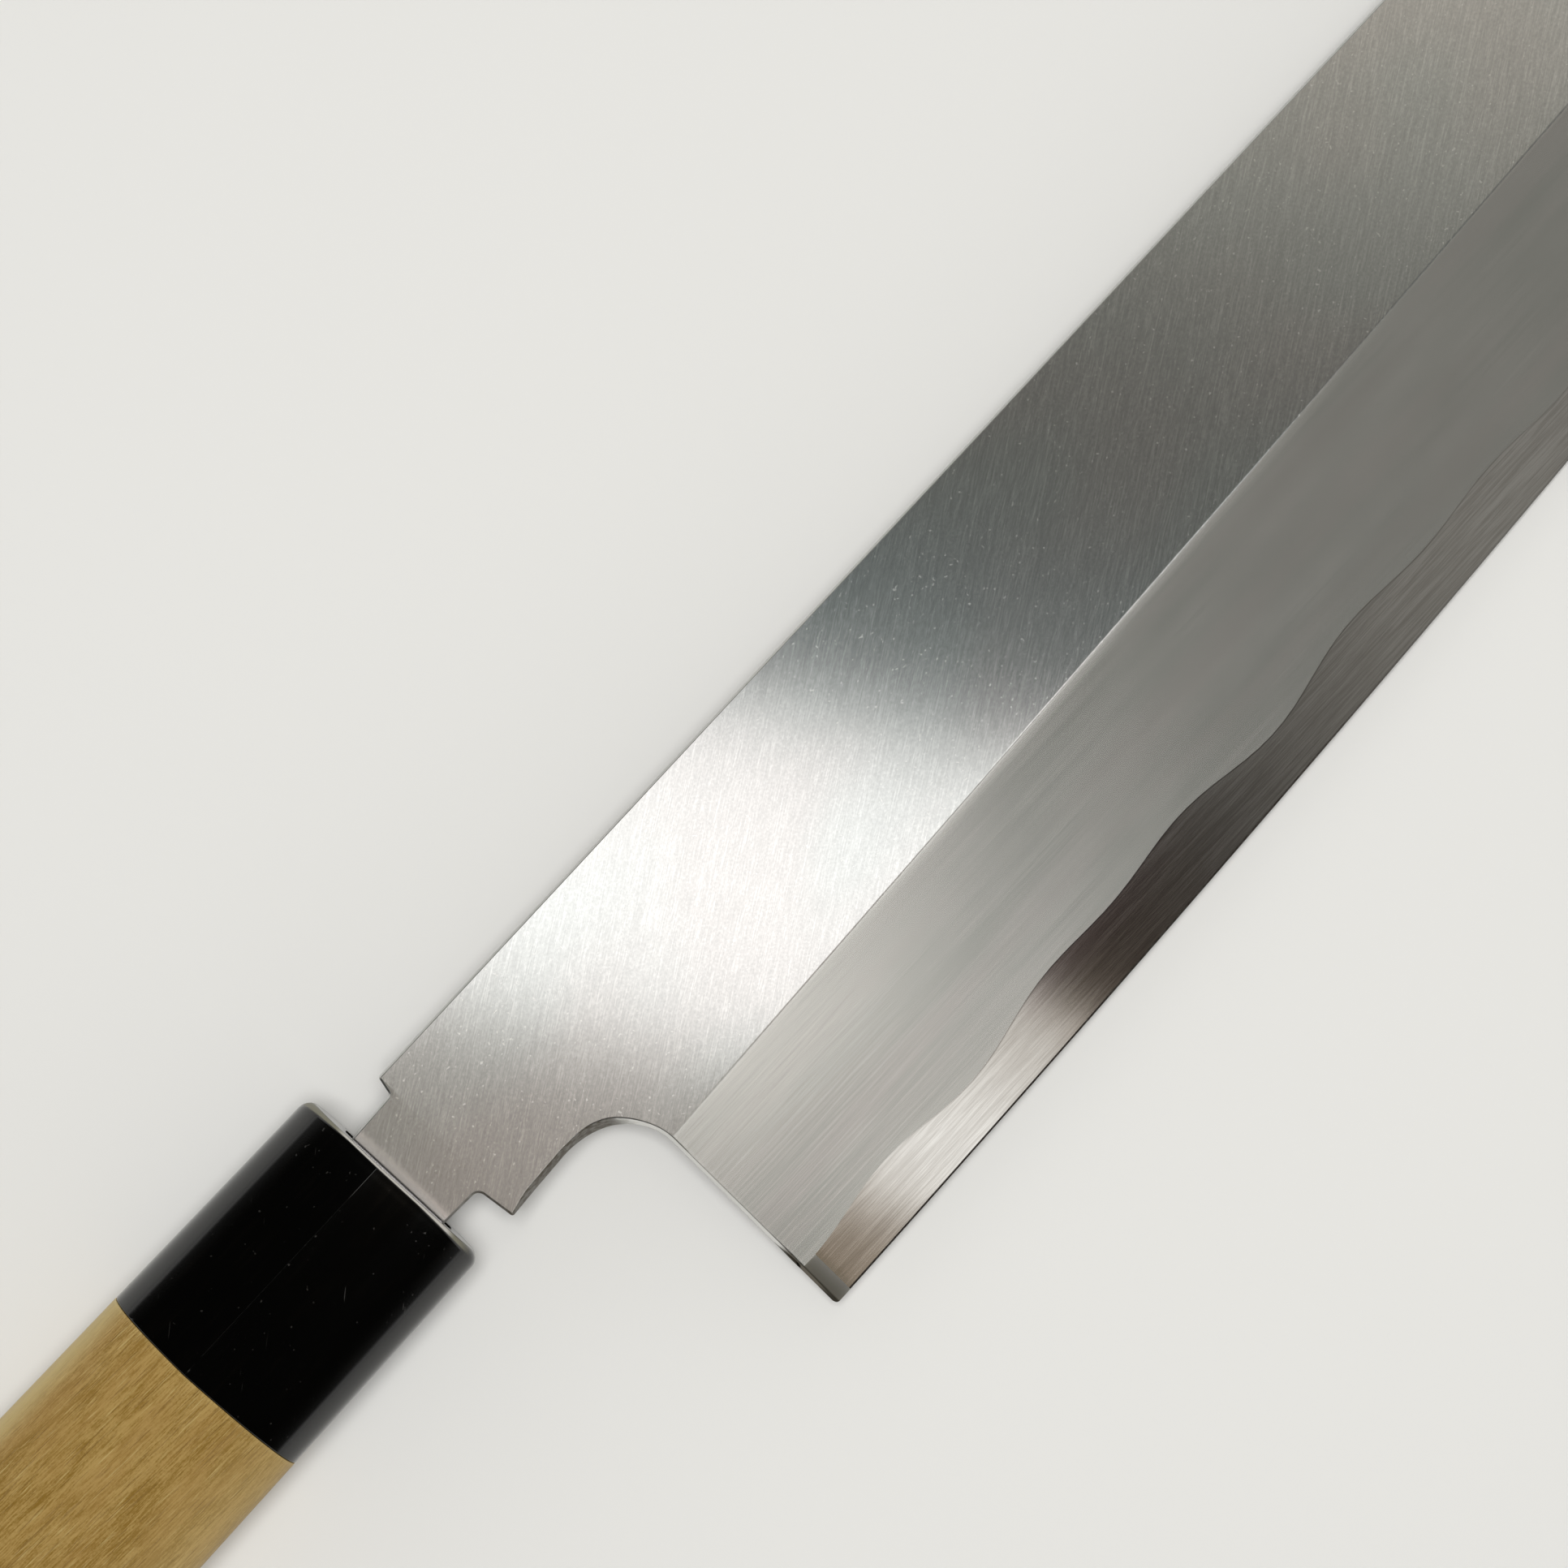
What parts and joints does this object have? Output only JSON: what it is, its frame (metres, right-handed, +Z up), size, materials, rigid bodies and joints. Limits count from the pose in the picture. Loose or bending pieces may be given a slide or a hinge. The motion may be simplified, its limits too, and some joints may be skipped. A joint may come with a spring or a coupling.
{
  "type": "honekiri knife",
  "caption": "Right-handed chisel-ground kitchen knife with a long thick blade, hollow-ground back, black ferrule and D-section wooden handle, lying on its back face.",
  "frame": {"origin": "on the table under the middle of the lying knife's bounding box", "axes": "+X along the knife from the handle to the tip, +Y towards the spine, +Z up from the table; the knife lies on its hollow back face as it rests, tipped a few degrees onto its edge"},
  "size_m": [0.4498, 0.059, 0.0215],
  "materials": {
    "soft_iron": "flat brushed on a slant, bevel hazy and matt",
    "hard_steel": "polished fine along the edge",
    "black_horn": "polished black buffalo horn, with gloss plastic standing in for horn",
    "magnolia_wood": "bare sanded magnolia with fine pores along the grain"
  },
  "bodies": {
    "root": {"blade_iron": "soft_iron", "blade_steel": "hard_steel", "ferrule": "black_horn", "handle": "magnolia_wood"}
  },
  "joints": []
}
